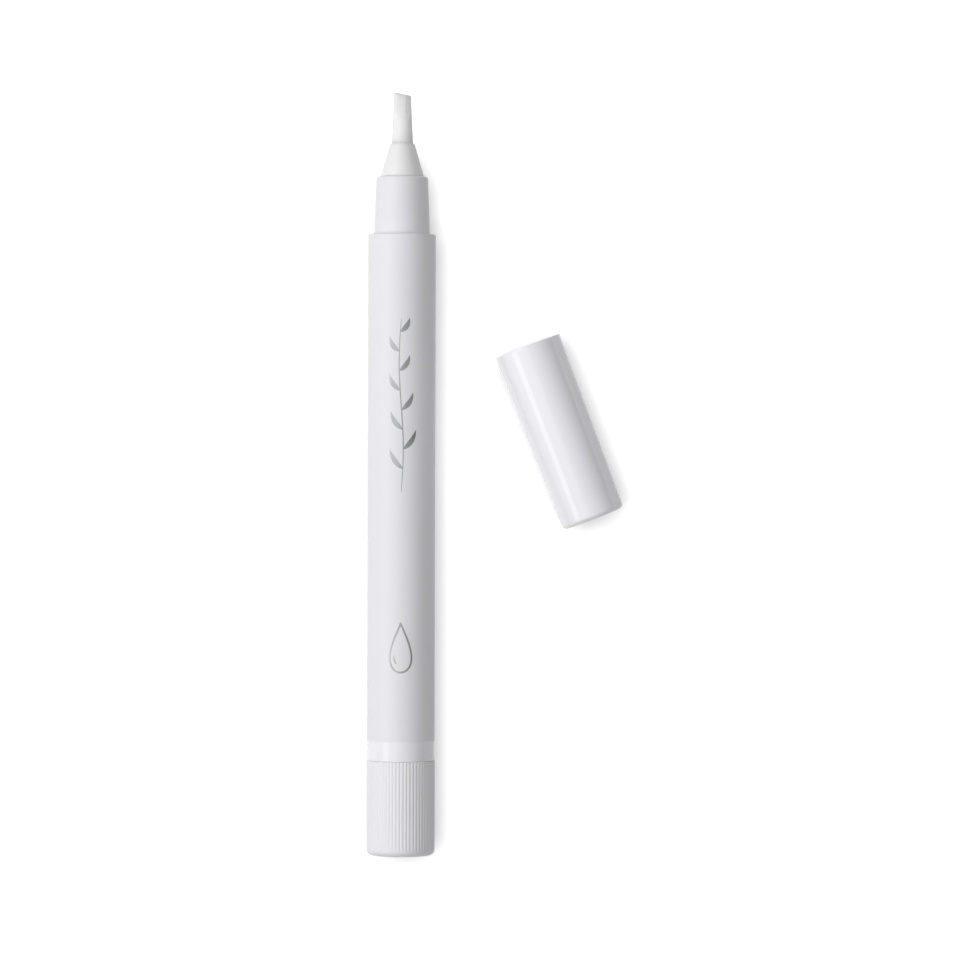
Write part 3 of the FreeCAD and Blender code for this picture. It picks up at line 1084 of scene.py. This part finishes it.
# %% Stamp the drop
drop_middle = 34.0
drop_half_length = 4.0
drop_half_width = 2.5
drop_power = 1.4
drop_line = 0.15


def drop_path(turn, share, middle):
    """Distances around and along on a drop's outline, at a share of its full size."""
    around = share * drop_half_width * np.sin(turn) * np.sin(turn / 2) ** drop_power
    return around, middle + share * drop_half_length * np.cos(turn)


drop_turn = np.linspace(0, 2 * math.pi, 160, endpoint=False)
drop_around, drop_along = drop_path(drop_turn, 1.0, drop_middle)
drop_grid = foil_grid(drop_around, drop_along, np.full(len(drop_turn), drop_line), True)
add_piece("foil_drop", drop_grid, True, "barrel", foil.material, None)

glint_turn = np.linspace(1.12 * math.pi, 1.42 * math.pi, 40)
glint_around, glint_along = drop_path(glint_turn, 0.6, drop_middle - 0.5)
glint_swell = np.sin(math.pi * np.linspace(0, 1, len(glint_turn)))
glint_grid = foil_grid(glint_around, glint_along, 0.01 + 0.12 * glint_swell, False)
add_piece("foil_glint", glint_grid, False, "barrel", foil.material, None)
print("drop is", 2 * drop_half_length, "mm long")

# %% [markdown]
# ## Foil sprig
#
# The sprig is a swaying stem with leaves on alternate sides, shorter towards the tip. The stem sways by
# one wave of a sine. A leaf is a ribbon too: it leans away from the stem, bows outwards in the middle,
# and its width swells from nothing and tapers to nothing again.

# %% Stamp the stem
stem_rear = 59.0
stem_front = 87.5
stem_sway = 0.35


def stem_path(share):
    """Distances around and along on the stem: the sway times the sine of a turn's share, and straight on."""
    return stem_sway * np.sin(2 * math.pi * share), stem_rear + (stem_front - stem_rear) * share


stem_share = np.linspace(0, 1, 80)
stem_around, stem_along = stem_path(stem_share)
stem_half_width = 0.02 + 0.08 * np.sin(math.pi * stem_share) ** 0.5
stem_grid = foil_grid(stem_around, stem_along, stem_half_width, False)
add_piece("foil_stem", stem_grid, False, "barrel", foil.material, None)
print("stem is", stem_front - stem_rear, "mm long")

# %% Stamp the leaves
leaf_count = 8
leaf_lean = math.radians(34)
leaf_bow = 0.35
leaf_share = np.linspace(0, 1, 40)
leaf_half_width = 0.01 + 0.4 * np.sin(math.pi * leaf_share**0.8) ** 0.9
bow = leaf_bow * np.sin(math.pi * leaf_share)
for leaf in range(leaf_count):
    place = 0.14 + 0.78 * leaf / (leaf_count - 1)
    side = 1 if leaf % 2 else -1
    reach = (4.2 - 1.6 * place) * leaf_share
    root_around, root_along = stem_path(place)
    leaf_around = root_around + side * (reach * math.sin(leaf_lean) + bow * math.cos(leaf_lean))
    leaf_along = root_along + reach * math.cos(leaf_lean) - bow * math.sin(leaf_lean)
    leaf_grid = foil_grid(leaf_around, leaf_along, leaf_half_width, False)
    add_piece(f"foil_leaf_{leaf + 1}", leaf_grid, False, "barrel", foil.material, None)
print("leaves:", leaf_count)

# %% [markdown]
# ## Table
#
# The pen lies on a white table. The table has to look white behind the pen, though the pen itself is lit
# at a plain level, so for the camera and in reflections the table also glows a little, and its own
# shading is added to that. Close to the pen the glow is taken away again, by an Ambient Occlusion node
# that looks towards the lamps and asks how much of that side is filled within a few millimetres. That is
# the narrow contact shadow beside the pen.

# %% Set the table
table_half = 30000.0
table_level = -knob_radius
table_mesh = bpy.data.meshes.new("table")
table_corners = np.array([(-1, -1, 0), (1, -1, 0), (1, 1, 0), (-1, 1, 0)])
table_points = table_corners * table_half + (0, 0, table_level)
table_mesh.from_pydata((table_points * MM).tolist(), [], [(0, 1, 2, 3)])
table = bpy.data.objects.new("table", table_mesh)
bpy.context.scene.collection.objects.link(table)
print("table at", round(table_level, 2), "mm")

# %% Finish the table
table_white = Finish(
    "table_white",
    Base_Color=(0.6, 0.6, 0.6, 1),
    Roughness=0.9,
    Specular_IOR_Level=0.0,
    Emission_Strength=1.0,
)
black = (0, 0, 0, 1)
backdrop_glow = (0.79, 0.79, 0.79, 1)
shadow_reach = 4.2
towards_lamps = Vector((-1.0, 0.35, 0.45)).normalized()
occlusion = {"Distance": shadow_reach * MM, "Normal": towards_lamps}
contact = table_white.node("ShaderNodeAmbientOcclusion", {"samples": 6}, occlusion, output="AO")
seen = table_white.node("ShaderNodeLightPath", output="Is Camera Ray")
mirrored = table_white.node("ShaderNodeLightPath", output="Is Glossy Ray")
through = table_white.node("ShaderNodeLightPath", output="Is Transmission Ray")
glow = table_white.blend(seen + mirrored + through, black, backdrop_glow)
table_white.drive("Emission Color", table_white.blend(contact, black, glow))
table_mesh.materials.append(table_white.material)
print("finish:", table_white.material.name, "with a shadow that reaches", shadow_reach, "mm")

# %% [markdown]
# ## Lamps
#
# A wide soft panel stands at the pen's left and gives the even shading across every tube. A narrow strip
# in front of it, parallel to the pen, is brighter: its reflection is the streak along the polished cap.
# Sun or spot lamps would leave hard edges that such a picture doesn't have. Neither lamp is seen by the
# camera.

# %% Light the pen
view_x = 12.8
view_y = 61.22


def add_softbox(name, tilt, distance, forward, width, length, glow):
    """Lamp that leans to the left of the upright by a tilt, is moved forward, and faces the pen's side.

    Its face looks as bright as its glow, where 1 is white, because its power is that glow times pi times
    its area.
    """
    lamp = bpy.data.lights.new(name, "AREA")
    lamp.shape = "RECTANGLE"
    lamp.size = width
    lamp.size_y = length
    lamp.energy = glow * math.pi * width * length
    softbox = bpy.data.objects.new(name, lamp)
    lean = math.radians(tilt)
    reach = Vector((-math.sin(lean), 0, math.cos(lean))) * distance
    softbox.location = Vector((view_x * MM, view_y * MM + forward, 0)) + reach
    softbox.rotation_euler = (0, -lean, 0)
    softbox.visible_camera = False
    bpy.context.scene.collection.objects.link(softbox)
    print(name, "gives", round(lamp.energy, 2), "W")


add_softbox("panel", tilt=45, distance=0.9, forward=0.4, width=1.5, length=2.0, glow=0.76)
add_softbox("strip", tilt=52, distance=0.6, forward=0.1, width=0.2, length=0.9, glow=1.75)

# %% [markdown]
# ## Room
#
# The rest of the light comes from a pale ceiling, brightest overhead and almost dark at the horizon. That
# keeps the middle of every tube bright and lets its shaded side fall off, as in the photograph. A studio
# picture wrapped round the scene could do the same, but the square of the direction's height is enough.

# %% Light the room
world = bpy.data.worlds.new("room")
bpy.context.scene.world = world
world.use_nodes = True
room = Nodes(world.node_tree, "Background")
room.shader.inputs["Color"].default_value = (1, 1, 1, 1)
direction = room.node("ShaderNodeTexCoord", output="Generated")
height = room.node("ShaderNodeSeparateXYZ", {}, {0: direction}, output="Z")
horizon_glow = 0.01
zenith_glow = 0.88
room.drive("Strength", horizon_glow + zenith_glow * height * height)
print("room glows", horizon_glow, "at the horizon and", horizon_glow + zenith_glow, "overhead")

# %% [markdown]
# ## Camera
#
# The photograph looks straight down from well above, so the pen shows hardly any perspective. The lens
# follows from the height and from the width of table that the picture takes in. The small roll is the
# tilt of the pen in the picture. The colours are shown as they are, with the Standard view.

# %% Place the camera
camera_height = 0.8
camera_roll = math.radians(0.15)
view_width = 0.1566
lens = bpy.data.cameras.new("camera")
lens.sensor_width = 36.0
lens.lens = lens.sensor_width * camera_height / view_width
lens.clip_end = 10.0
camera = bpy.data.objects.new("camera", lens)
camera.location = (view_x * MM, view_y * MM, camera_height)
camera.rotation_euler = (0, 0, camera_roll)
bpy.context.scene.collection.objects.link(camera)
bpy.context.scene.camera = camera
bpy.context.scene.view_settings.view_transform = "Standard"
print("lens", round(lens.lens, 1), "mm")

# %% [markdown] ## Last update The view layer is brought up to date.
# The dressed pen has to stay in the box of its solids.

# %% Update the view layer
bpy.context.view_layer.update()
